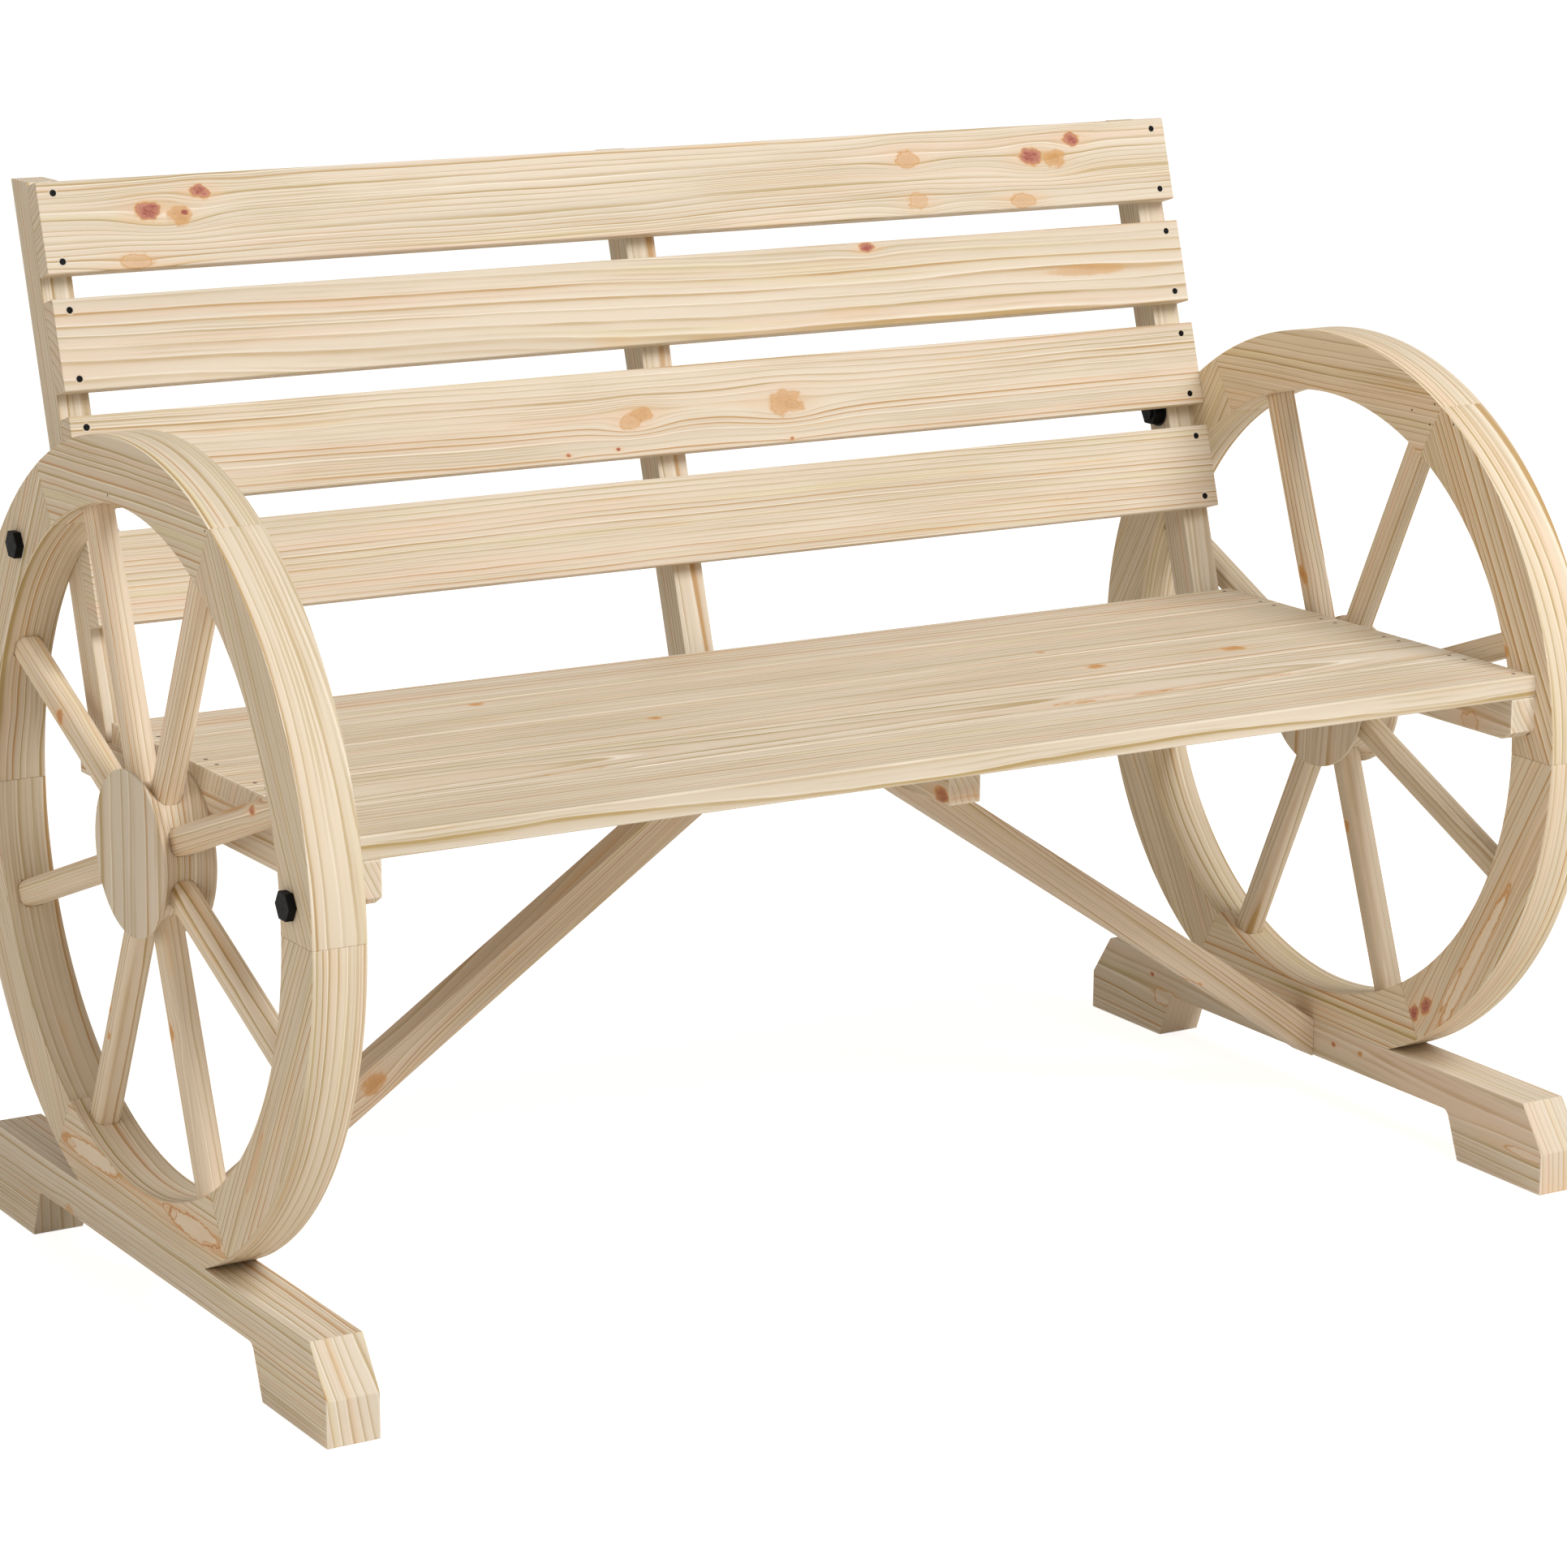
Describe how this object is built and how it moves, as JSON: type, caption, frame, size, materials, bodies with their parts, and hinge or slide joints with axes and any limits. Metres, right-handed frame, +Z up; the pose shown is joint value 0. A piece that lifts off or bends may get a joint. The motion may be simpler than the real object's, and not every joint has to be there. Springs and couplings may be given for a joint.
{
  "type": "wagon wheel garden bench",
  "caption": "Garden bench of pale sawn softwood: plank seat and leaning slatted back held between spoked wagon wheels that stand on arched feet, braced underneath.",
  "frame": {"origin": "on the ground under the middle of the bench, which is the middle of its bounding box's underside", "axes": "+X along the seat towards the sitter's left, which is the viewer's right in front of the bench; +Y towards the backrest, so the front faces -Y; +Z up"},
  "size_m": [1.092, 0.605, 0.7857],
  "materials": {
    "wheel_wood": "unfinished sawn fir, matt",
    "seat_wood": "unfinished planed fir, matt",
    "back_wood": "unfinished planed fir, matt",
    "frame_wood": "unfinished sawn fir, matt",
    "black_steel": "blackened, satin"
  },
  "bodies": {
    "root": {"left_felloe_1": "wheel_wood", "left_felloe_2": "wheel_wood", "left_felloe_3": "wheel_wood", "left_felloe_4": "wheel_wood", "left_felloe_5": "wheel_wood", "left_felloe_6": "wheel_wood", "left_spoke_1": "wheel_wood", "left_spoke_2": "wheel_wood", "left_spoke_3": "wheel_wood", "left_spoke_4": "wheel_wood", "left_spoke_5": "wheel_wood", "left_spoke_6": "wheel_wood", "left_spoke_7": "wheel_wood", "left_spoke_8": "wheel_wood", "left_foot": "frame_wood", "brace_left": "frame_wood", "right_felloe_1": "wheel_wood", "right_felloe_2": "wheel_wood", "right_felloe_3": "wheel_wood", "right_felloe_4": "wheel_wood", "right_felloe_5": "wheel_wood", "right_felloe_6": "wheel_wood", "right_spoke_1": "wheel_wood", "right_spoke_2": "wheel_wood", "right_spoke_3": "wheel_wood", "right_spoke_4": "wheel_wood", "right_spoke_5": "wheel_wood", "right_spoke_6": "wheel_wood", "right_spoke_7": "wheel_wood", "right_spoke_8": "wheel_wood", "right_foot": "frame_wood", "brace_right": "frame_wood", "wheel_hubs": "wheel_wood", "seat_plank_1": "seat_wood", "seat_plank_2": "seat_wood", "seat_plank_3": "seat_wood", "seat_plank_4": "seat_wood", "seat_plank_5": "seat_wood", "seat_bearer_left": "frame_wood", "seat_bearer_centre": "frame_wood", "seat_bearer_right": "frame_wood", "back_upright_left": "frame_wood", "back_upright_centre": "frame_wood", "back_upright_right": "frame_wood", "back_slat_1": "back_wood", "back_slat_2": "back_wood", "back_slat_3": "back_wood", "back_slat_4": "back_wood", "rear_rim_bolts": "black_steel", "rear_rim_nuts": "black_steel", "rear_rim_washers": "black_steel", "front_coach_screws": "black_steel"}
  },
  "joints": []
}
